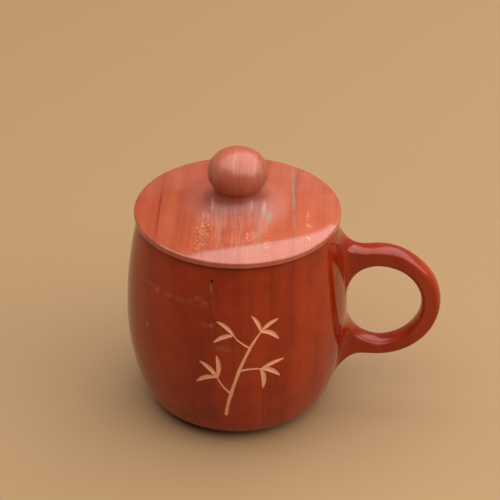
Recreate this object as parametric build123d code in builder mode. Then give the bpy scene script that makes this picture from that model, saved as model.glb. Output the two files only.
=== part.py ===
from build123d import *
import os
from math import acos, atan2, cos, degrees, radians, sin, sqrt

# Polished stone tea cup with a ring handle and a loose lid with a ball knob.
# The origin is the middle of the base, Z is up, the handle points along X, lengths are in millimetres.

# Cup, outside
rim_height = 83.5
rim_radius = 38.5
belly_height = 41.0
belly_radius = 43.8
flank_arc_radius = 93.5
foot_round = 14.5
rim_outer_round = 0.8

# Cup, inside
rim_wall = 4.0
belly_wall = 5.5
floor_thickness = 8.0
inner_foot_round = 13.0
rim_inner_round = 0.8

# Ring handle, cut from the same block as the cup
handle_top_drop = 12.6
handle_foot_rise = 21.2
arm_thickness = 6.9
ring_stand_off_share = 0.674
hole_shift_in = 0.4
hole_shift_down = 0.8
hole_corner_share = 0.7
hole_bite = 0.5
handle_width = 8.5
handle_edge_round = 2.0
upper_arm_slope = 7
upper_flare_reach_share = 0.63
upper_flare_round_share = 1.2
upper_flare_turn = 46
lower_flare_reach_share = 0.6
lower_flare_round_share = 1.06
lower_flare_turn = 45
root_depth = 11.0
root_blend = 2.5

# Lid plate and the spigot that centres it in the mouth
lid_overhang = 1.5
lid_edge_thickness = 2.5
lid_edge_round = 0.7
lid_crown = 3.5
spigot_depth = 4.0
spigot_side_clearance = 0.5
spigot_end_clearance = 2.0
spigot_edge_round = 1.0

# Knob, turned from the same block as the lid
knob_radius = 11.5
knob_half_height = 9.55
knob_side_share = 0.9
neck_radius = 8.7
cove_width = 11.3
cove_height = 7.0

# How far every cut runs past the stone
cut_overrun = 5.0

os.makedirs("parts", exist_ok=True)

# The barrel's lower flank is one arc that runs into the rounded foot, inside and outside.
flank_centre = belly_radius - flank_arc_radius
foot_drop = belly_height - foot_round
foot_reach = sqrt((flank_arc_radius - foot_round) ** 2 - foot_drop**2)
foot_share = flank_arc_radius / (flank_arc_radius - foot_round)
foot_start = (flank_centre + foot_reach, 0)
foot_end = (flank_centre + foot_reach * foot_share, belly_height - foot_drop * foot_share)

inner_belly_radius = belly_radius - belly_wall
inner_flank_radius = flank_arc_radius - belly_wall
inner_foot_drop = belly_height - floor_thickness - inner_foot_round
inner_foot_reach = sqrt((inner_flank_radius - inner_foot_round) ** 2 - inner_foot_drop**2)
inner_foot_share = inner_flank_radius / (inner_flank_radius - inner_foot_round)
inner_foot_start = (flank_centre + inner_foot_reach, floor_thickness)
inner_foot_end = (
    flank_centre + inner_foot_reach * inner_foot_share,
    belly_height - inner_foot_drop * inner_foot_share,
)

mouth_radius = rim_radius - rim_wall
mouth_foot_height = rim_height - spigot_depth - spigot_end_clearance

# Ring handle before it joins the barrel: a flat ring with rounded edges whose two arms run
# into the barrel and flare towards it, the upper arm upwards and the lower arm downwards.
handle_top = rim_height - handle_top_drop
ring_radius = (handle_top - handle_foot_rise) / 2
hole_radius = ring_radius - arm_thickness
ring_centre = (belly_radius + hole_radius * ring_stand_off_share, handle_top - ring_radius)
hole_centre = (ring_centre[0] - hole_shift_in, ring_centre[1] - hole_shift_down)
handle_side = Plane.XZ.offset(-handle_width / 2)

# The barrel's wall where each arm meets it.
shoulder_lean = belly_radius - rim_radius
shoulder_arc_radius = ((rim_height - belly_height) ** 2 + shoulder_lean**2) / (2 * shoulder_lean)
upper_arm_share = (handle_top - belly_height) / shoulder_arc_radius
upper_wall = belly_radius - shoulder_arc_radius * (1 - sqrt(1 - upper_arm_share**2))
lower_arm_share = (belly_height - handle_foot_rise) / flank_arc_radius
lower_wall = belly_radius - flank_arc_radius * (1 - sqrt(1 - lower_arm_share**2))
hole_side = min(upper_wall, lower_wall) + hole_bite

with BuildSketch(handle_side) as finger_hole:
    with Locations(hole_centre):
        Circle(hole_radius)
    with Locations((hole_side, hole_centre[1])):
        Rectangle(2 * ring_radius, 2 * ring_radius, align=(Align.MIN, Align.CENTER), mode=Mode.INTERSECT)
    fillet(finger_hole.vertices(), radius=hole_radius * hole_corner_share)

with BuildPart() as ring:
    with BuildSketch(handle_side):
        with BuildLine():
            bow = CenterArc(ring_centre, ring_radius, start_angle=-90, arc_size=180 + upper_arm_slope)
            upper_reach = ((bow @ 1).X - upper_wall) * upper_flare_reach_share
            upper_run = ((bow @ 1).X - upper_wall - upper_reach) / cos(radians(upper_arm_slope))
            upper_arm = PolarLine(bow @ 1, upper_run, direction=bow % 1)
            upper_round = upper_reach * upper_flare_round_share
            upper_flare = JernArc(upper_arm @ 1, bow % 1, upper_round, -upper_flare_turn)
            upper_end = PolarLine(upper_flare @ 1, root_depth, direction=upper_flare % 1)
            lower_reach = ((bow @ 0).X - lower_wall) * lower_flare_reach_share
            lower_arm = Line(bow @ 0, (lower_wall + lower_reach, (bow @ 0).Y))
            lower_round = lower_reach * lower_flare_round_share
            lower_flare = JernArc(lower_arm @ 1, lower_arm % 1, lower_round, lower_flare_turn)
            lower_end = PolarLine(lower_flare @ 1, root_depth, direction=lower_flare % 1)
            Line(upper_end @ 1, lower_end @ 1)
        make_face()
        add(finger_hole.sketch, mode=Mode.SUBTRACT)
    extrude(amount=handle_width)
    outline = ring.faces().filter_by(Axis.Y).edges().sort_by(Axis.X)[2:]
    fillet(outline, radius=handle_edge_round)

# Turned barrel, still solid.
with BuildPart() as barrel:
    with BuildSketch(Plane.YZ):
        with BuildLine():
            Line((0, 0), foot_start)
            TangentArc(foot_start, foot_end, tangent=(1, 0))
            TangentArc((belly_radius, belly_height), foot_end, tangent=(0, -1))
            TangentArc((belly_radius, belly_height), (rim_radius, rim_height), tangent=(0, 1))
            Line((rim_radius, rim_height), (0, rim_height))
            Line((0, rim_height), (0, 0))
        make_face()
    revolve(axis=Axis.Z)

# Cup: the ring grows out of the barrel through blended roots, then the inside is hollowed.
with BuildPart() as cup:
    add(barrel.part)
    add(ring.part)
    roots = new_edges(barrel.part, ring.part, combined=cup.part)
    fillet(roots, radius=root_blend)
    with BuildSketch(Plane.YZ):
        with BuildLine():
            Line((0, floor_thickness), inner_foot_start)
            TangentArc(inner_foot_start, inner_foot_end, tangent=(1, 0))
            TangentArc((inner_belly_radius, belly_height), inner_foot_end, tangent=(0, -1))
            TangentArc((inner_belly_radius, belly_height), (mouth_radius, mouth_foot_height), tangent=(0, 1))
            Line((mouth_radius, mouth_foot_height), (mouth_radius, rim_height + cut_overrun))
            Line((mouth_radius, rim_height + cut_overrun), (0, rim_height + cut_overrun))
            Line((0, rim_height + cut_overrun), (0, floor_thickness))
        make_face()
    revolve(axis=Axis.Z, mode=Mode.SUBTRACT)
    rim_edges = cup.faces().sort_by(Axis.Z)[-1].edges().sort_by(SortBy.RADIUS)
    fillet(rim_edges[0], radius=rim_inner_round)
    outer_rim = cup.faces().sort_by(Axis.Z)[-1].edges().sort_by(SortBy.RADIUS)[-1]
    fillet(outer_rim, radius=rim_outer_round)

cup.part.label = "cup"
export_step(cup.part, "parts/cup.step")

# Lid: a gently crowned plate resting on the rim, with a spigot below and the ball knob above.
lid_radius = rim_radius + lid_overhang
spigot_radius = mouth_radius - spigot_side_clearance
spigot_bottom = rim_height - spigot_depth
lid_edge_top = rim_height + lid_edge_thickness
crown_radius = (lid_radius**2 + lid_crown**2) / (2 * lid_crown)
crown_centre = lid_edge_top + lid_crown - crown_radius
cove_foot_radius = neck_radius + cove_width
cove_foot_height = crown_centre + sqrt(crown_radius**2 - cove_foot_radius**2)
crown_middle_radius = (lid_radius + cove_foot_radius) / 2
crown_middle_height = crown_centre + sqrt(crown_radius**2 - crown_middle_radius**2)
neck_top_height = cove_foot_height + cove_height

# The cove leaves the plate along the crown's slope and ends upright at the neck.
cove_foot_rise = cove_width * cove_foot_radius / (cove_foot_height - crown_centre)

# The ball is an oval of two arcs: a side arc round its girth that runs into a flatter top arc.
side_arc_radius = knob_half_height * knob_side_share
side_arc_centre = knob_radius - side_arc_radius
side_gap = knob_half_height - side_arc_radius
top_arc_drop = (side_arc_centre**2 - side_gap**2) / (2 * side_gap)
top_arc_angle = degrees(atan2(top_arc_drop, side_arc_centre))
neck_angle = degrees(acos((neck_radius - side_arc_centre) / side_arc_radius))
knob_centre_height = neck_top_height + side_arc_radius * sin(radians(neck_angle))
knob_top = (0, knob_centre_height + knob_half_height)

with BuildPart() as lid:
    with BuildSketch(Plane.YZ):
        with BuildLine():
            Line((0, spigot_bottom), (spigot_radius, spigot_bottom))
            Line((spigot_radius, spigot_bottom), (spigot_radius, rim_height))
            Line((spigot_radius, rim_height), (lid_radius, rim_height))
            Line((lid_radius, rim_height), (lid_radius, lid_edge_top))
            ThreePointArc(
                (lid_radius, lid_edge_top),
                (crown_middle_radius, crown_middle_height),
                (cove_foot_radius, cove_foot_height),
            )
            Bezier(
                (cove_foot_radius, cove_foot_height),
                (neck_radius, cove_foot_height + cove_foot_rise),
                (neck_radius, neck_top_height),
            )
            girth = CenterArc(
                (side_arc_centre, knob_centre_height),
                side_arc_radius,
                start_angle=-neck_angle,
                arc_size=neck_angle + top_arc_angle,
            )
            TangentArc(girth @ 1, knob_top, tangent=girth % 1)
            Line(knob_top, (0, spigot_bottom))
        make_face()
    revolve(axis=Axis.Z)
    plate_side = lid.faces().filter_by(GeomType.CYLINDER).sort_by(Axis.Z)[-1]
    fillet(plate_side.edges().filter_by(GeomType.CIRCLE), radius=lid_edge_round)
    fillet(lid.faces().sort_by(Axis.Z)[0].edges(), radius=spigot_edge_round)

lid.part.label = "lid"
export_step(lid.part, "parts/lid.step")
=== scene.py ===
from math import asin, atan2, cos, exp, hypot, pi, radians, sin, sqrt

import bmesh
import bpy
import numpy as np
from mathutils import Matrix, Vector


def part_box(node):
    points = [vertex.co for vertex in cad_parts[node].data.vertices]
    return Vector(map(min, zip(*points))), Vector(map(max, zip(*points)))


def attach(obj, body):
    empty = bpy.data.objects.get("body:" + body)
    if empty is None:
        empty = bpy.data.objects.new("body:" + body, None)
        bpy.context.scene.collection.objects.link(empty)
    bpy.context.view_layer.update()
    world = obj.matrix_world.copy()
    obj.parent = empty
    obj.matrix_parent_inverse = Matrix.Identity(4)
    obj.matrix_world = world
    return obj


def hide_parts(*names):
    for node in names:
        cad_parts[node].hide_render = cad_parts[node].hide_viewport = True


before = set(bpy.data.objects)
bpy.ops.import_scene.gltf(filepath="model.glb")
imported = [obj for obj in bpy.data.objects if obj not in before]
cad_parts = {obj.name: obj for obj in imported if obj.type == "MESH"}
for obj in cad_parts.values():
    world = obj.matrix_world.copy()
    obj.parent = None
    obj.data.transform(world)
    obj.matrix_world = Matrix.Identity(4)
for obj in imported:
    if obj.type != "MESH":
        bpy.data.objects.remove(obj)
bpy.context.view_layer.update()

# Cup: barrel, hollow inside and ring handle, carved out of one block of red banded stone
# and polished all over, with a bamboo spray cut into the front. It stands on its own flat base.

# Sizes are in millimetres, and the finished mesh is scaled to metres.
mm = 0.001
cup_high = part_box("cup")[1]
rim_height = cup_high.z / mm
belly_radius = cup_high.y / mm
handle_reach = cup_high.x / mm
rim_radius = 38.5
belly_height = 41.0
flank_round = 93.5
foot_round = 14.5
rim_edge = 0.8
mouth_radius = 34.5
mouth_depth = 6.0
inner_belly_radius = 38.3
inner_foot_round = 13.0
floor_thickness = 8.0

# The barrel's wall is three arcs: foot, flank and shoulder; the hollow follows it inside.
flank_x = belly_radius - flank_round
foot_x = flank_x + sqrt((flank_round - foot_round) ** 2 - (belly_height - foot_round) ** 2)
flank_turn = asin((belly_height - foot_round) / (flank_round - foot_round))
foot_top = belly_height - flank_round * sin(flank_turn)
shoulder_lean = belly_radius - rim_radius
shoulder_round = ((rim_height - belly_height) ** 2 + shoulder_lean**2) / (2 * shoulder_lean)
shoulder_x = belly_radius - shoulder_round
shoulder_turn = asin((rim_height - belly_height) / shoulder_round)
mouth_foot = rim_height - mouth_depth
inner_lean = inner_belly_radius - mouth_radius
inner_shoulder_round = ((mouth_foot - belly_height) ** 2 + inner_lean**2) / (2 * inner_lean)
inner_shoulder_x = inner_belly_radius - inner_shoulder_round
inner_shoulder_turn = asin((mouth_foot - belly_height) / inner_shoulder_round)
inner_flank_round = inner_belly_radius - flank_x
inner_foot_z = floor_thickness + inner_foot_round
inner_flank_turn = asin((belly_height - inner_foot_z) / (inner_flank_round - inner_foot_round))
inner_foot_x = flank_x + (inner_flank_round - inner_foot_round) * cos(inner_flank_turn)


def run_to(mesh, vert, x, z):
    """Draws a straight run of a turned outline on to (x, z) and gives its end."""
    end = bmesh.ops.extrude_vert_indiv(mesh, verts=[vert])["verts"][0]
    end.co = (x, 0, z)
    return end


def sweep(mesh, vert, x, z, turn, steps):
    """Draws an arc of a turned outline about (x, z), rising on the outside, and gives its end."""
    arc = bmesh.ops.spin(
        mesh, geom=[vert], cent=(x, 0, z), axis=(0, -1, 0), angle=turn, steps=steps
    )
    return next(g for g in arc["geom_last"] if isinstance(g, bmesh.types.BMVert))


columns = 180
column_turn = 2 * pi / columns
merge_distance = 0.001
cup_mesh = bmesh.new()
tip = cup_mesh.verts.new((0, 0, 0))
tip = run_to(cup_mesh, tip, foot_x, 0)
tip = sweep(cup_mesh, tip, foot_x, foot_round, pi / 2 - flank_turn, steps=12)
tip = sweep(cup_mesh, tip, flank_x, belly_height, flank_turn, steps=21)
outer_rim = sweep(cup_mesh, tip, shoulder_x, belly_height, shoulder_turn, steps=28)
inner_rim = run_to(cup_mesh, outer_rim, mouth_radius, rim_height)
tip = run_to(cup_mesh, inner_rim, mouth_radius, mouth_foot)
tip = sweep(cup_mesh, tip, inner_shoulder_x, belly_height, -inner_shoulder_turn, steps=16)
tip = sweep(cup_mesh, tip, flank_x, belly_height, -inner_flank_turn, steps=12)
tip = sweep(cup_mesh, tip, inner_foot_x, inner_foot_z, inner_flank_turn - pi / 2, steps=10)
run_to(cup_mesh, tip, 0, floor_thickness)
bmesh.ops.bevel(
    cup_mesh,
    geom=[outer_rim, inner_rim],
    offset=rim_edge,
    affect="VERTICES",
    segments=4,
    profile=0.5,
    material=-1,
)
bmesh.ops.spin(
    cup_mesh,
    geom=cup_mesh.verts[:] + cup_mesh.edges[:],
    cent=(0, 0, 0),
    axis=(0, 0, 1),
    angle=2 * pi,
    steps=columns,
    use_merge=True,
)
bmesh.ops.remove_doubles(cup_mesh, verts=cup_mesh.verts, dist=merge_distance)
bmesh.ops.recalc_face_normals(cup_mesh, faces=cup_mesh.faces)

# The part of the wall that can be worked on, and how near to it one of its vertices lies.
wall_foot = 2.0
wall_top = rim_height - 1.0
wall_slack = 0.05


def wall_radius(z):
    """The barrel's outer radius at a height."""
    if z > belly_height:
        return shoulder_x + sqrt(shoulder_round**2 - (z - belly_height) ** 2)
    if z > foot_top:
        return flank_x + sqrt(flank_round**2 - (z - belly_height) ** 2)
    return foot_x + sqrt(foot_round**2 - (foot_round - max(z, 0)) ** 2)


def on_wall(vert):
    """Whether a vertex lies on the barrel's outer wall, above the foot and below the rim's edge."""
    x, y, z = vert.co
    return wall_foot < z < wall_top and abs(hypot(x, y) - wall_radius(z)) < wall_slack


# Ring handle: both arms grow out of the wall through wide flared roots. The loop of edges round
# the upper root's opening is drawn out along the handle and closed on the lower root's opening.
ring_radius = 24.85
ring_x = handle_reach - ring_radius
ring_z = 46.05
hole_radius = 17.6
hole_shift_in = 0.4
hole_shift_down = 0.8
hole_x = ring_x - hole_shift_in
hole_z = ring_z - hole_shift_down
half_width = 4.25
edge_round = 1.3
face_crown = 0.9
# A flare is how far from the wall it begins and how far it has spread at the wall.
upper_out = (9.5, 8.0)
upper_in = (15.0, 14.0)
lower_out = (8.5, 11.0)
lower_in = (17.5, 14.0)
side_flare = (7.5, 4.0)
corner_flare = (8.0, 2.0)
arm_slope = 0.12
arm_bend = 3.0
# The carver took the ring's upper shoulder down by hand and left its edges rounder there.
worn_depth = 0.6
worn_turn = radians(47)
worn_spread = radians(22)
worn_edge_share = 0.35
# The openings in the wall, in columns each side of the handle's plane and in rows from a foot up.
root_columns = 7
root_rows = 22
upper_root_foot = 45.5
lower_root_foot = 9.0
# Stations along the handle: those of a root crowd towards the wall, those of the bow are even.
root_steps = 18
root_crowding = 1.6
bow_step = 5


def flare(distance, reach_and_rise):
    """How far a root's quarter-oval flare has spread at a distance from the wall."""
    reach, rise = reach_and_rise
    return rise * (1 - sqrt(1 - max(0.0, 1 - distance / reach) ** 2))


def rounded(across, along, half_across, half_along, corner):
    """A point of a square's outline taken to a rectangle with rounded corners and crowned faces."""
    p = Vector((sin(across * pi / 2) * half_across, sin(along * pi / 2) * half_along))
    core = Vector(
        (
            max(corner - half_across, min(half_across - corner, p.x)),
            max(corner - half_along, min(half_along - corner, p.y)),
        )
    )
    p = core + (p - core).normalized() * corner
    return Vector((p.x, p.y * (1 - face_crown / half_along * (p.x / half_across) ** 2)))


def root_point(across, outward, share, upper):
    """A point of the handle between the wall (share 0) and the top or foot of the ring (share 1)."""
    way = 1 if upper else -1
    arm = ring_x - wall_radius(ring_z + way * ring_radius)
    distance = share * arm
    inner_distance = share * (arm + hole_x - ring_x)
    outer = ring_z + way * (ring_radius + flare(distance, upper_out if upper else lower_out))
    inner = hole_z + way * (hole_radius - flare(inner_distance, upper_in if upper else lower_in))
    if upper:
        outer -= arm_slope * (arm - distance) ** 2 / (arm - distance + arm_bend)
    flat = rounded(
        across,
        outward,
        half_width + flare(distance, side_flare),
        abs(outer - inner) / 2,
        edge_round + flare(distance, corner_flare),
    )
    z = (outer + inner) / 2 + way * flat.y
    wall_x = sqrt(wall_radius(z) ** 2 - flat.x**2)
    end_x = hole_x + (ring_x - hole_x) * (sin(outward * pi / 2) + 1) / 2
    return Vector((wall_x + (end_x - wall_x) * share, flat.x, z))


def bow_point(across, outward, turn):
    """A point of the round part of the handle, at a turn up from the ring's outermost point."""
    worn = exp(-(((turn - worn_turn) / worn_spread) ** 2))
    radius = ring_radius - worn_depth * worn
    outer = Vector((ring_x + radius * cos(turn), 0, ring_z + radius * sin(turn)))
    inner = Vector((hole_x + hole_radius * cos(turn), 0, hole_z + hole_radius * sin(turn)))
    way = 1 if turn > 0 else -1
    distance = inner.x - wall_radius(ring_z + way * ring_radius)
    inner.z -= way * flare(distance, upper_in if turn > 0 else lower_in)
    half_along = (outer - inner).length / 2
    flat = rounded(across, outward, half_width, half_along, edge_round * (1 + worn_edge_share * worn))
    return (outer + inner) / 2 + (outer - inner).normalized() * flat.y + Vector((0, flat.x, 0))


def patch_point(across, outward, share, upper):
    """A point of the wall between a root's outline (share 0) and the opening round it (share 1)."""
    outline = root_point(across, outward, 0.0, upper)
    rim_places = upper_places if upper else lower_places
    middle = outline.lerp(rim_places[round(across, 4), round(outward, 4)], share)
    return Vector((sqrt(wall_radius(middle.z) ** 2 - middle.y**2), middle.y, middle.z))


def open_root(foot):
    """Opens the wall for a root and gives the rim of the opening: {vertex: (across, up)}."""
    levels = sorted({round(v.co.z, 3) for v in cup_mesh.verts if on_wall(v)})
    first = next(i for i, z in enumerate(levels) if z >= foot)

    def cell(vert):
        turn = atan2(vert.co.y, vert.co.x) / column_turn
        row = min(range(len(levels)), key=lambda i: abs(levels[i] - vert.co.z))
        return round(turn) / root_columns, (row - first) / (root_rows / 2) - 1

    wall = {v: cell(v) for v in cup_mesh.verts if on_wall(v)}
    inside = {v: c for v, c in wall.items() if max(abs(c[0]), abs(c[1])) <= 1.0001}
    faces = [f for f in cup_mesh.faces if all(v in inside for v in f.verts)]
    bmesh.ops.delete(cup_mesh, geom=faces, context="FACES")
    return {v: c for v, c in inside.items() if v.is_valid}


upper_rim = open_root(upper_root_foot)
lower_rim = open_root(lower_root_foot)
upper_places = {(round(a, 4), round(b, 4)): v.co.copy() for v, (a, b) in upper_rim.items()}
lower_places = {(round(a, 4), round(-b, 4)): v.co.copy() for v, (a, b) in lower_rim.items()}

root_shares = [(k / root_steps) ** root_crowding for k in range(root_steps + 1)]
stations = [(patch_point, (0.5, True))]
stations += [(root_point, (share, True)) for share in root_shares]
stations += [(bow_point, (radians(90 - bow_step * k),)) for k in range(1, 180 // bow_step)]
stations += [(root_point, (share, False)) for share in reversed(root_shares)]
stations += [(patch_point, (share, False)) for share in (0.5, 1.0)]
loop = upper_rim
for shape, arguments in stations:
    edges = [e for e in cup_mesh.edges if e.is_boundary and all(v in loop for v in e.verts)]
    drawn = bmesh.ops.extrude_edge_only(cup_mesh, edges=edges)["geom"]
    ahead = {}
    for vert in drawn:
        if isinstance(vert, bmesh.types.BMVert):
            behind = next(e.other_vert(vert) for e in vert.link_edges if e.other_vert(vert) in loop)
            ahead[vert] = loop[behind]
    for vert, (across, outward) in ahead.items():
        vert.co = shape(across, outward, *arguments)
    loop = ahead
bmesh.ops.remove_doubles(cup_mesh, verts=cup_mesh.verts, dist=merge_distance)
bmesh.ops.recalc_face_normals(cup_mesh, faces=cup_mesh.faces)

# Bamboo spray cut into the front of the barrel with a round graver and left unpolished.
# Each cut is a bent line on the unrolled wall: start, bend and end as (round the wall from the
# front, height), and its width at the start, middle and end.
cuts = (
    ((-2.0, 17.0), (-1.4, 23.0), (0.0, 28.0), 1.5, 1.3, 1.5),
    ((0.2, 29.0), (1.5, 34.5), (3.0, 39.5), 1.4, 1.2, 1.4),
    ((3.3, 40.5), (5.0, 45.5), (7.2, 50.0), 1.3, 1.1, 1.2),
    ((7.6, 50.9), (9.2, 54.0), (11.5, 57.0), 1.1, 0.9, 0.5),
    ((0.3, 28.6), (-3.5, 32.0), (-5.2, 36.5), 0.9, 0.7, 0.5),
    ((3.1, 40.0), (8.0, 41.5), (11.5, 40.5), 0.9, 0.7, 0.5),
    ((7.4, 50.4), (3.5, 52.5), (1.0, 56.0), 0.8, 0.6, 0.4),
    ((-5.2, 36.5), (-9.5, 37.5), (-13.5, 33.0), 0.3, 2.0, 0.2),
    ((-5.2, 36.5), (-7.5, 41.0), (-12.0, 43.0), 0.3, 1.9, 0.2),
    ((-5.2, 36.5), (-4.0, 41.5), (-5.5, 46.5), 0.3, 1.8, 0.2),
    ((11.5, 40.5), (15.5, 40.5), (19.0, 36.0), 0.3, 2.0, 0.2),
    ((11.5, 40.5), (13.5, 36.5), (12.5, 31.0), 0.3, 1.9, 0.2),
    ((11.5, 40.5), (16.0, 43.0), (20.5, 43.5), 0.3, 1.7, 0.2),
    ((1.0, 56.0), (-3.0, 56.0), (-6.5, 52.5), 0.3, 1.8, 0.2),
    ((1.0, 56.0), (-1.5, 60.0), (-5.5, 61.5), 0.3, 1.6, 0.2),
    ((11.5, 57.0), (15.5, 57.5), (18.5, 53.0), 0.3, 1.9, 0.2),
    ((11.5, 57.0), (14.5, 60.5), (18.5, 61.5), 0.3, 1.6, 0.2),
    ((11.5, 57.0), (11.0, 61.0), (8.0, 64.0), 0.3, 1.5, 0.2),
)
cut_depth = 0.3
cut_steps = 16
spray_x = 4.0
spray_turn = radians(33)
spray_foot = 14.0
spray_top = 67.0
sharp_edge = radians(40)


def in_spray(vert):
    """Whether a vertex lies in the part of the wall that carries the spray."""
    return (
        on_wall(vert)
        and abs(atan2(vert.co.x - spray_x, -vert.co.y)) < spray_turn
        and spray_foot < vert.co.z < spray_top
    )


# The wall is divided finely there, and every vertex near a cut sinks by the cut's round section.
cut_layer = cup_mesh.verts.layers.float.new("cut")
under_spray = {v for v in cup_mesh.verts if in_spray(v)}
spray_edges = [e for e in cup_mesh.edges if all(v in under_spray for v in e.verts)]
bmesh.ops.subdivide_edges(cup_mesh, edges=spray_edges, cuts=5, use_grid_fill=True)
field = [v for v in cup_mesh.verts if v.co.y < 0 and spray_foot < v.co.z < spray_top and on_wall(v)]
turns = np.array([atan2(v.co.x, -v.co.y) for v in field])
heights = np.array([v.co.z for v in field])
round_wall = turns * belly_radius
depths = np.zeros(len(field))
for start, bend, end, start_width, middle_width, end_width in cuts:
    for k in range(cut_steps):
        share = (k + 0.5) / cut_steps
        a, b = (
            np.array(start) * (1 - t) ** 2 + 2 * np.array(bend) * t * (1 - t) + np.array(end) * t * t
            for t in (k / cut_steps, (k + 1) / cut_steps)
        )
        width = start_width + (end_width - start_width) * share
        width += (middle_width - (start_width + end_width) / 2) * 4 * share * (1 - share)
        step = b - a
        along = ((round_wall - a[0]) * step[0] + (heights - a[1]) * step[1]) / (step**2).sum()
        along = np.clip(along, 0, 1)
        off = np.hypot(round_wall - a[0] - along * step[0], heights - a[1] - along * step[1])
        depths = np.maximum(depths, np.sqrt(np.clip(1 - (2 * off / width) ** 2, 0, None)))
for vert, turn, share in zip(field, turns, depths):
    radius = wall_radius(vert.co.z) - cut_depth * share
    vert.co = (radius * sin(turn), -radius * cos(turn), vert.co.z)
    vert[cut_layer] = share

bmesh.ops.scale(cup_mesh, vec=(mm, mm, mm), verts=cup_mesh.verts)
for face in cup_mesh.faces:
    face.smooth = True
cup_data = bpy.data.meshes.new("cup")
cup_mesh.to_mesh(cup_data)
cup_mesh.free()
cup_data.set_sharp_from_angle(angle=sharp_edge)
cup = bpy.data.objects.new("carved_cup", cup_data)
bpy.context.collection.objects.link(cup)


def linear(hex_colour):
    """A written sRGB colour as the linear RGBA that a shader socket takes."""
    parts = [int(hex_colour[i : i + 2], 16) / 255 for i in (1, 3, 5)]
    return [c / 12.92 if c <= 0.04045 else ((c + 0.055) / 1.055) ** 2.4 for c in parts] + [1.0]


def add_node(tree, kind, settings=None, links=None, stops=()):
    """One node with its settings, its links from other nodes, and the stops of a colour ramp."""
    node = tree.nodes.new(kind)
    for name, value in (settings or {}).items():
        if isinstance(name, int) or name in node.inputs:
            node.inputs[name].default_value = value
        else:
            setattr(node, name, value)
    for name, source in (links or {}).items():
        socket = source.outputs[0] if isinstance(source, bpy.types.Node) else source
        tree.links.new(socket, node.inputs[name])
    for i, (place, colour) in enumerate(stops):
        ramp = node.color_ramp.elements
        stop = ramp[i] if i < len(ramp) else ramp.new(place)
        stop.position = place
        stop.color = linear(colour)
    return node


# Polished red mudstone: a dense red-brown stone of thin even beds that stand upright in the block.
# Edge-on they show as fine upright lines, face-on as wide soft bands; the polish mirrors the table.
per_mm = 1000.0


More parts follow.
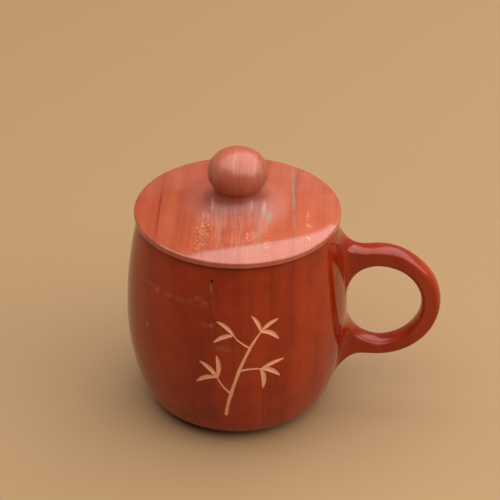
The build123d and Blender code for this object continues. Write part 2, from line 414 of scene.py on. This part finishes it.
def polished_stone(name, tones, painted_light_drift, line_strength, plain_from, ior):
    """Red mudstone, and what the rest of a block builds on: place, ragged place, colour and polish.

    tones are its dark, middle and light beds, and the drift is how fast they lighten along X, painted light
    that brightens the side towards the lamps. The fine beds have one strength at the left and one at the
    right, and hardly show past plain_from.
    """
    stone = bpy.data.materials.new(name)
    stone.use_nodes = True
    tree = stone.node_tree
    tree.nodes["Principled BSDF"].inputs["IOR"].default_value = ior
    at = add_node(tree, "ShaderNodeTexCoord").outputs["Object"]
    block = add_node(tree, "ShaderNodeVectorMath", {"operation": "SCALE", "Scale": per_mm}, {0: at})
    # The beds sway by a millimetre or two over a few centimetres.
    sway = add_node(tree, "ShaderNodeTexNoise", {"Scale": 1 / 35, "Detail": 2.0}, {"Vector": block})
    beds = add_node(
        tree,
        "ShaderNodeVectorMath",
        {"operation": "MULTIPLY_ADD", 1: (4.0, 0, 0)},
        {0: sway.outputs["Color"], 2: block},
    )
    # Wide beds 9 mm thick give the ground its tone, and a cloud 7 mm across breaks them up.
    wide_bed = (1 / 9, 1 / 120, 1 / 120)
    wide_place = add_node(tree, "ShaderNodeMapping", {"Scale": wide_bed}, {"Vector": beds})
    wide = add_node(tree, "ShaderNodeTexNoise", {"Scale": 1.0, "Detail": 2.0}, {"Vector": wide_place})
    cloud = add_node(tree, "ShaderNodeTexNoise", {"Scale": 1 / 7, "Detail": 4.0}, {"Vector": block})
    ground = add_node(tree, "ShaderNodeMix", {"data_type": "FLOAT", 0: 0.4}, {2: wide, 3: cloud})
    across = add_node(tree, "ShaderNodeSeparateXYZ", {}, {"Vector": block})
    # The ground tone lightens along X: painted light, brighter on the side towards the lamps.
    ground_with_painted_light = add_node(
        tree, "ShaderNodeMath", {"operation": "MULTIPLY_ADD", 1: painted_light_drift}, {0: across, 2: ground}
    )
    ground_colour = add_node(
        tree, "ShaderNodeValToRGB", {}, {"Fac": ground_with_painted_light}, tuple(zip((0.34, 0.5, 0.66), tones))
    )
    # Fine beds 0.6 mm thick, a little darker than the ground, that fade in and out.
    fine_bed = (1 / 0.6, 1 / 150, 1 / 150)
    fine_place = add_node(tree, "ShaderNodeMapping", {"Scale": fine_bed}, {"Vector": beds})
    fine = add_node(
        tree,
        "ShaderNodeTexNoise",
        {"Scale": 1.0, "Detail": 3.0, "Roughness": 0.6},
        {"Vector": fine_place},
    )
    fine_tones = ((0.34, "#B0A6A4"), (0.5, "#F0ECEA"), (0.66, "#FFFFFF"))
    fine_colour = add_node(tree, "ShaderNodeValToRGB", {}, {"Fac": fine}, fine_tones)
    left_to_right = add_node(
        tree,
        "ShaderNodeMapRange",
        {"From Min": -14.0, "From Max": 16.0, "To Min": line_strength[0], "To Max": line_strength[1]},
        {"Value": across},
    )
    fade_bed = (1 / 5, 1 / 40, 1 / 40)
    fade_place = add_node(tree, "ShaderNodeMapping", {"Scale": fade_bed}, {"Vector": beds})
    fade = add_node(tree, "ShaderNodeTexNoise", {"Scale": 1.0, "Detail": 1.0}, {"Vector": fade_place})
    shown = add_node(tree, "ShaderNodeMapRange", {"From Min": 0.35, "From Max": 0.65}, {"Value": fade})
    strength = add_node(tree, "ShaderNodeMath", {"operation": "MULTIPLY"}, {0: left_to_right, 1: shown})
    plain = add_node(
        tree,
        "ShaderNodeMapRange",
        {"From Min": plain_from, "From Max": plain_from + 6.0, "To Min": 1.0, "To Max": 0.15},
        {"Value": across},
    )
    strength = add_node(tree, "ShaderNodeMath", {"operation": "MULTIPLY"}, {0: strength, 1: plain})
    colour = add_node(
        tree,
        "ShaderNodeMix",
        {"data_type": "RGBA", "blend_type": "MULTIPLY"},
        {0: strength, 6: ground_colour, 7: fine_colour},
    )
    # The harder beds take a little more polish.
    polish = add_node(
        tree,
        "ShaderNodeMapRange",
        {"From Min": 0.35, "From Max": 0.65, "To Min": 0.09, "To Max": 0.04},
        {"Value": fine},
    )
    # Inclusions have ragged edges, drawn out along the beds.
    grit = add_node(tree, "ShaderNodeTexNoise", {"Scale": 1 / 1.4, "Detail": 2.0}, {"Vector": block})
    pushed = add_node(
        tree,
        "ShaderNodeVectorMath",
        {"operation": "MULTIPLY_ADD", 1: (0.7, 2.5, 2.5)},
        {0: grit.outputs["Color"], 2: block},
    )
    ragged = add_node(
        tree, "ShaderNodeVectorMath", {"operation": "SUBTRACT", 1: (0.35, 1.25, 1.25)}, {0: pushed}
    )
    return stone, block, ragged, colour.outputs[2], polish


def stain(tree, colour, share, hex_colour):
    """The stone's colour with a share of another colour over it."""
    mixed = add_node(
        tree, "ShaderNodeMix", {"data_type": "RGBA", 7: linear(hex_colour)}, {0: share, 6: colour}
    )
    return mixed.outputs[2]


def inclusions(tree, block, ovals):
    """How far inside a list of oval inclusions the stone is: 1 at an oval's middle, 0 at its edge."""
    inside = None
    for centre, half_sizes, lean in ovals:
        oval = add_node(
            tree,
            "ShaderNodeMapping",
            {"vector_type": "TEXTURE", "Location": centre, "Rotation": lean, "Scale": half_sizes},
            {"Vector": block},
        )
        depth = add_node(tree, "ShaderNodeTexGradient", {"gradient_type": "SPHERICAL"}, {"Vector": oval})
        depth = depth.outputs["Fac"]
        if inside is None:
            inside = depth
        else:
            inside = add_node(tree, "ShaderNodeMath", {"operation": "MAXIMUM"}, {0: inside, 1: depth})
    return inside


def include(tree, colour, block, hex_colour, share, full_at, ovals, clear_to=0.0):
    """The stone's colour with oval inclusions, whose colour has its full share from a depth inwards."""
    cover = add_node(
        tree,
        "ShaderNodeMapRange",
        {"From Min": clear_to, "From Max": full_at, "To Max": share},
        {"Value": inclusions(tree, block, ovals)},
    )
    return stain(tree, colour, cover, hex_colour)


# The cup's tones are darker than the lid's of the same stone: painted shade on its upright wall.
cup_stone, place, ragged, colour, polish = polished_stone(
    "red mudstone, polished, cup, painted shade",
    tones=("#842000", "#962804", "#A4330C"),
    painted_light_drift=0.0008,
    line_strength=(0.15, 0.75),
    plain_from=40.0,
    ior=1.45,
)
tree = cup_stone.node_tree
# Thin pale clouds left of the spray, broken up into wisps 4 mm long.
clouds = inclusions(
    tree,
    ragged,
    (
        ((-25.0, -33.0, 67.6), (20.0, 16.0, 2.0), (0, 0, 0)),
        ((-12.0, -40.0, 68.7), (6.0, 6.0, 2.6), (0, 0, 0)),
        ((-9.0, -41.8, 60.2), (5.0, 6.0, 2.4), (0, 0, 0)),
        ((-4.0, -43.0, 49.8), (9.0, 6.0, 1.8), (0, 0, 0)),
    ),
)
wisp = (1 / 4, 1 / 4, 1 / 1.2)
wisp_place = add_node(tree, "ShaderNodeMapping", {"Scale": wisp}, {"Vector": ragged})
wisps = add_node(
    tree, "ShaderNodeTexNoise", {"Scale": 1.0, "Detail": 4.0, "Roughness": 0.65}, {"Vector": wisp_place}
)
wisp_cover = add_node(tree, "ShaderNodeMapRange", {"From Min": 0.45, "From Max": 0.7}, {"Value": wisps})
in_cloud = add_node(tree, "ShaderNodeMapRange", {"From Max": 0.7, "To Max": 0.45}, {"Value": clouds})
cloud_share = add_node(tree, "ShaderNodeMath", {"operation": "MULTIPLY"}, {0: wisp_cover, 1: in_cloud})
colour = stain(tree, colour, cloud_share, "#B87C62")
# A dark hairline, a few pale grains, and a black pit at the hairline's top.
hairline = (
    ((-8.0, -41.0, 67.5), (0.5, 6.0, 7.0), (0, radians(-9), 0)),
    ((-6.2, -42.3, 59.0), (0.45, 6.0, 7.5), (0, radians(-7), 0)),
)
colour = include(tree, colour, ragged, "#5C1A10", 0.5, 0.6, hairline)
grains = (
    ((-33.0, -28.5, 49.8), (1.0, 2.5, 1.0), (0, 0, 0)),
    ((-28.6, -30.5, 67.4), (0.9, 2.5, 0.9), (0, 0, 0)),
    ((-7.6, -40.0, 75.0), (0.4, 4.0, 3.0), (0, radians(-3), 0)),
)
colour = include(tree, colour, ragged, "#D8A184", 0.22, 0.6, grains)
pit = (((-7.4, -39.2, 77.5), (0.8, 3.0, 1.3), (0, 0, 0)),)
colour = include(tree, colour, ragged, "#1C0F0A", 1.0, 0.5, pit, clear_to=0.2)
# The cuts show the bright unpolished stone.
cut = add_node(tree, "ShaderNodeAttribute", {"attribute_name": "cut"}).outputs["Fac"]
cut_share = add_node(tree, "ShaderNodeMapRange", {"From Min": 0.05, "From Max": 0.45}, {"Value": cut})
colour = stain(tree, colour, cut_share, "#F0A880")
# The handle is polished by hand and stays duller than the turned barrel.
along_x = add_node(tree, "ShaderNodeSeparateXYZ", {}, {"Vector": place}).outputs["X"]
by_hand = add_node(
    tree,
    "ShaderNodeMapRange",
    {"interpolation_type": "SMOOTHSTEP", "From Min": 43.0, "From Max": 50.0},
    {"Value": along_x},
)
dull = add_node(tree, "ShaderNodeMix", {"data_type": "FLOAT", 3: 0.2}, {0: by_hand, 2: polish})
rough = add_node(tree, "ShaderNodeMix", {"data_type": "FLOAT", 3: 0.6}, {0: cut_share, 2: dull})
shader = tree.nodes["Principled BSDF"]
tree.links.new(colour, shader.inputs["Base Color"])
tree.links.new(rough.outputs[0], shader.inputs["Roughness"])
cup_data.materials.append(cup_stone)
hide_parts("cup")
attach(cup, "cup")

# Lid: a turned disc with a ball knob, of the same stone as the cup in lighter tones: painted light on its
# upward face.
# It lies loose on the rim, centred by the spigot below.
lid_stone, place, ragged, colour, polish = polished_stone(
    "red mudstone, polished, lid, painted light",
    tones=("#AF4F36", "#B8573B", "#C06043"),
    painted_light_drift=0.003,
    line_strength=(0.4, 0.4),
    plain_from=60.0,
    ior=1.64,
)
tree = lid_stone.node_tree
# Thin pale beds 1.3 mm thick show in the middle of the plate and on the ball; on the ball's upper front
# they are also painted highlight, paling where the sheen falls.
middle = inclusions(
    tree,
    ragged,
    (
        ((0.0, -16.0, 88.5), (18.0, 24.0, 12.0), (0, 0, 0)),
        ((0.0, -5.0, 106.0), (13.0, 13.0, 13.0), (0, 0, 0)),
    ),
)
pale_bed = (1 / 1.3, 1 / 14, 1 / 14)
pale_place = add_node(tree, "ShaderNodeMapping", {"Scale": pale_bed}, {"Vector": ragged})
pale_beds = add_node(tree, "ShaderNodeTexNoise", {"Scale": 1.0, "Detail": 2.0}, {"Vector": pale_place})
pale_shown = add_node(
    tree, "ShaderNodeMapRange", {"From Min": 0.45, "From Max": 0.75, "To Max": 0.3}, {"Value": pale_beds}
)
in_pale_bed_and_sheen_zones = add_node(tree, "ShaderNodeMapRange", {"From Max": 0.4}, {"Value": middle})
pale_bed_and_sheen_share = add_node(tree, "ShaderNodeMath", {"operation": "MULTIPLY"}, {0: pale_shown, 1: in_pale_bed_and_sheen_zones})
colour = stain(tree, colour, pale_bed_and_sheen_share, "#D8A78C")
# Grey-green veins lie along the beds, with a dark red bed, a hairline and two pits on the ball.
veins = (
    ((20.7, 25.0, 87.0), (0.8, 10.0, 9.0), (0, 0, radians(1.6))),
    ((21.1, 13.0, 88.2), (0.85, 11.0, 9.0), (0, 0, radians(1.6))),
    ((21.6, 2.0, 88.5), (0.8, 10.0, 9.0), (0, 0, radians(2.5))),
    ((22.3, -12.0, 88.1), (0.4, 9.0, 6.0), (0, 0, radians(3.0))),
    ((11.4, -9.0, 89.6), (1.5, 5.5, 4.0), (0, 0, radians(24))),
    ((12.4, -13.5, 88.8), (0.8, 6.0, 4.0), (0, 0, radians(-6))),
    ((8.8, -23.0, 88.2), (0.4, 14.0, 8.0), (0, 0, radians(1.8))),
)
colour = include(tree, colour, ragged, "#957C66", 0.75, 0.5, veins)
dark_beds = (
    ((-29.9, -4.0, 86.0), (0.6, 30.0, 20.0), (0, 0, radians(1.0))),
    ((1.3, -9.0, 106.0), (0.35, 6.0, 7.5), (0, 0, 0)),
    ((-5.0, 2.6, 110.3), (0.5, 0.8, 0.8), (0, 0, 0)),
    ((-1.7, -1.8, 111.3), (0.5, 0.8, 0.8), (0, 0, 0)),
)
colour = include(tree, colour, ragged, "#82261A", 0.5, 0.6, dark_beds)
# Rows of ochre grains, drawn out into short crooked strokes: a noise near its middle value, broken
# up by a second one 1.8 mm across.
rows = inclusions(
    tree,
    ragged,
    (
        ((-11.6, -19.5, 88.2), (4.0, 22.0, 10.0), (0, 0, radians(-5))),
        ((1.2, -17.5, 88.9), (1.3, 7.0, 6.0), (0, 0, radians(-5))),
        ((5.3, -24.7, 88.1), (1.2, 6.0, 6.0), (0, 0, radians(12))),
        ((12.4, -28.0, 87.5), (1.3, 11.0, 6.0), (0, 0, radians(1))),
        ((27.7, -15.0, 87.3), (1.4, 16.0, 6.0), (0, 0, radians(1))),
    ),
)
grit_size = (1 / 1.0, 1 / 2.6, 1 / 2.6)
grit_place = add_node(tree, "ShaderNodeMapping", {"Scale": grit_size}, {"Vector": ragged})
grit = add_node(tree, "ShaderNodeTexNoise", {"Scale": 1.0, "Detail": 1.0}, {"Vector": grit_place})
past_middle = add_node(tree, "ShaderNodeMath", {"operation": "SUBTRACT", 1: 0.5}, {0: grit})
from_middle = add_node(tree, "ShaderNodeMath", {"operation": "ABSOLUTE"}, {0: past_middle})
line = add_node(tree, "ShaderNodeMapRange", {"From Min": 0.05, "From Max": 0.015}, {"Value": from_middle})
broken = add_node(tree, "ShaderNodeTexNoise", {"Scale": 1 / 1.8, "Detail": 1.0}, {"Vector": ragged})
kept = add_node(tree, "ShaderNodeMapRange", {"From Min": 0.43, "From Max": 0.56}, {"Value": broken})
stroke = add_node(tree, "ShaderNodeMath", {"operation": "MULTIPLY"}, {0: line, 1: kept})
in_rows = add_node(tree, "ShaderNodeMapRange", {"From Max": 0.5, "To Max": 0.7}, {"Value": rows})
grain_share = add_node(tree, "ShaderNodeMath", {"operation": "MULTIPLY"}, {0: stroke, 1: in_rows})
colour = stain(tree, colour, grain_share, "#E6A678")
# Pale streaks run down the cove.
streaks = (
    ((-9.2, -6.5, 91.0), (0.9, 5.0, 3.0), (0, 0, 0)),
    ((5.7, -8.0, 92.3), (0.8, 5.0, 3.0), (0, 0, 0)),
    ((10.5, -5.9, 90.6), (0.9, 5.0, 3.0), (0, 0, 0)),
)
colour = include(tree, colour, ragged, "#D9A78E", 0.55, 0.6, streaks)
# The ball and the cove below it are polished by hand and stay duller than the plate, the cove most,
# and round the neck the colour is darkened: painted shade under the ball.
painted_shade_under_ball = (((0.0, 0.0, 96.0), (19.0, 19.0, 13.0), (0, 0, 0)),)
colour = include(tree, colour, place, "#7A2C1C", 0.5, 0.5, painted_shade_under_ball)
knob = inclusions(tree, place, (((0.0, 0.0, 100.0), (28.0, 28.0, 30.0), (0, 0, 0)),))
by_hand = add_node(
    tree, "ShaderNodeMapRange", {"interpolation_type": "SMOOTHSTEP", "From Max": 0.35}, {"Value": knob}
)
height = add_node(tree, "ShaderNodeSeparateXYZ", {}, {"Vector": place}).outputs["Z"]
cove_to_ball = {"From Min": 94.0, "From Max": 98.0, "To Min": 0.46, "To Max": 0.35}
hand_polish = add_node(
    tree,
    "ShaderNodeMapRange",
    {"interpolation_type": "SMOOTHSTEP", **cove_to_ball},
    {"Value": height},
)
dull = add_node(tree, "ShaderNodeMix", {"data_type": "FLOAT"}, {0: by_hand, 2: polish, 3: hand_polish})
shader = tree.nodes["Principled BSDF"]
tree.links.new(colour, shader.inputs["Base Color"])
tree.links.new(dull.outputs[0], shader.inputs["Roughness"])
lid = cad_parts["lid"]
lid.data.materials.clear()
lid.data.materials.append(lid_stone)

# Stage: a plain pale sand-coloured floor under a wide overhead softbox and a small one at the side.
# The eye and the polish see a pale room and an even floor far off; neither lights the object.
floor_mesh = bmesh.new()
bmesh.ops.create_grid(floor_mesh, x_segments=1, y_segments=1, size=6.0)
floor_data = bpy.data.meshes.new("floor")
floor_mesh.to_mesh(floor_data)
floor_mesh.free()
floor = bpy.data.objects.new("floor", floor_data)
bpy.context.collection.objects.link(floor)


def seen_rays(tree):
    """1 for what the eye sees, directly or in a polish or a glass, and 0 for light on the object."""
    ray = add_node(tree, "ShaderNodeLightPath").outputs
    seen = add_node(
        tree, "ShaderNodeMath", {"operation": "MAXIMUM"}, {0: ray["Is Camera Ray"], 1: ray["Is Glossy Ray"]}
    )
    return add_node(
        tree, "ShaderNodeMath", {"operation": "MAXIMUM"}, {0: seen, 1: ray["Is Transmission Ray"]}
    )


sand = bpy.data.materials.new("pale sand table")
sand.use_nodes = True
tree = sand.node_tree
near = tree.nodes["Principled BSDF"]
near.inputs["Base Color"].default_value = linear("#AB865D")
near.inputs["Roughness"].default_value = 0.7
far = add_node(tree, "ShaderNodeEmission", {"Color": linear("#C09A71")})
at = add_node(tree, "ShaderNodeTexCoord").outputs["Object"]
away = add_node(tree, "ShaderNodeVectorMath", {"operation": "LENGTH"}, {0: at}).outputs["Value"]
far_off = add_node(
    tree,
    "ShaderNodeMapRange",
    {"interpolation_type": "SMOOTHSTEP", "From Min": 0.6, "From Max": 1.6},
    {"Value": away},
)
even = add_node(tree, "ShaderNodeMath", {"operation": "MULTIPLY"}, {0: far_off, 1: seen_rays(tree)})
surface = add_node(tree, "ShaderNodeMixShader", {}, {0: even, 1: near, 2: far})
tree.links.new(surface.outputs[0], tree.nodes["Material Output"].inputs["Surface"])
floor_data.materials.append(sand)

world = bpy.data.worlds.new("studio")
bpy.context.scene.world = world
world.use_nodes = True
tree = world.node_tree
tree.nodes["Background"].inputs["Color"].default_value = linear("#FFFFFF")
room = add_node(
    tree, "ShaderNodeMath", {"operation": "MULTIPLY_ADD", 1: 0.15, 2: 0.05}, {0: seen_rays(tree)}
)
tree.links.new(room.outputs[0], tree.nodes["Background"].inputs["Strength"])


def softbox(name, place, turn, width, height, power):
    """Hangs a rectangular softbox at a place in metres; unturned, it shines straight down."""
    lamp = bpy.data.lights.new(name, "AREA")
    lamp.shape = "RECTANGLE"
    lamp.size = width
    lamp.size_y = height
    lamp.energy = power
    box = bpy.data.objects.new(name, lamp)
    bpy.context.collection.objects.link(box)
    box.matrix_world = Matrix.Translation(place) @ turn


overhead_turn = Matrix.Rotation(radians(40.4), 4, "Z")
softbox("overhead softbox", (0.6194, 0.1981, 1.215), overhead_turn, width=3.2, height=2.4, power=53.3)
side_turn = Matrix.Rotation(radians(70), 4, "Z") @ Matrix.Rotation(radians(90), 4, "X")
softbox("side softbox", (1.36, -0.5, 0.8), side_turn, width=1.1, height=0.8, power=7)

# A round card hangs under the overhead softbox's far edge, so its image on the lid ends in a curve.
card_radius = 0.758
card_middle = (-0.373, 1.674, 1.2)
card_mesh = bmesh.new()
bmesh.ops.create_circle(card_mesh, cap_ends=True, segments=128, radius=card_radius)
bmesh.ops.translate(card_mesh, vec=card_middle, verts=card_mesh.verts)
card_data = bpy.data.meshes.new("card")
card_mesh.to_mesh(card_data)
card_mesh.free()
card = bpy.data.objects.new("card", card_data)
bpy.context.collection.objects.link(card)
board = bpy.data.materials.new("grey card board")
board.use_nodes = True
shader = board.node_tree.nodes["Principled BSDF"]
shader.inputs["Base Color"].default_value = linear("#B4ACA4")
shader.inputs["Roughness"].default_value = 0.9
card_data.materials.append(board)

# The camera stands where the photograph was taken from.
image_width = 500
focal_pixels = 1768
sensor_width = 36.0
camera_place = (0.0307, -0.5851, 0.4369)
camera_turn = radians(2.521)
camera_drop = radians(32.28)
camera_roll = radians(0.5)
lens = bpy.data.cameras.new("camera")
lens.sensor_width = sensor_width
lens.lens = focal_pixels / image_width * sensor_width
camera = bpy.data.objects.new("camera", lens)
bpy.context.collection.objects.link(camera)
camera.matrix_world = (
    Matrix.Translation(camera_place)
    @ Matrix.Rotation(camera_turn, 4, "Z")
    @ Matrix.Rotation(pi / 2 - camera_drop, 4, "X")
    @ Matrix.Rotation(camera_roll, 4, "Z")
)
bpy.context.scene.camera = camera
bpy.context.scene.view_settings.view_transform = "Standard"
